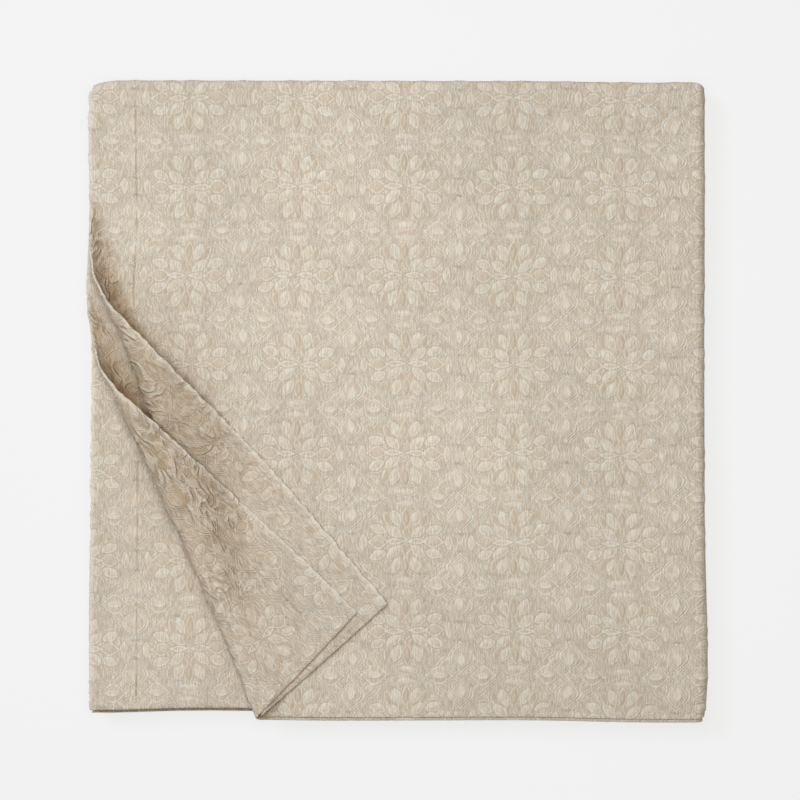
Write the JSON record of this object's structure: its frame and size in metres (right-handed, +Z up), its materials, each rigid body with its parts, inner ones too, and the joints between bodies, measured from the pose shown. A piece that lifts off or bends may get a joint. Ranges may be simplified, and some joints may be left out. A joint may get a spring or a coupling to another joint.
{
  "type": "folded coverlet",
  "caption": "Cream woven coverlet folded into a flat square stack, with the lower left corner of its upper layers turned back.",
  "frame": {"origin": "middle of the surface that the folded coverlet rests on, at the middle of its bounding box", "axes": "+Z up, +Y along the folded length away from the open ends, +X across it towards the folded right edge"},
  "size_m": [0.6064, 0.6258, 0.0694],
  "materials": {
    "woven_cotton": "matt puffed jacquard weave, cream on beige"
  },
  "bodies": {
    "root": {"coverlet": "woven_cotton"}
  },
  "joints": []
}
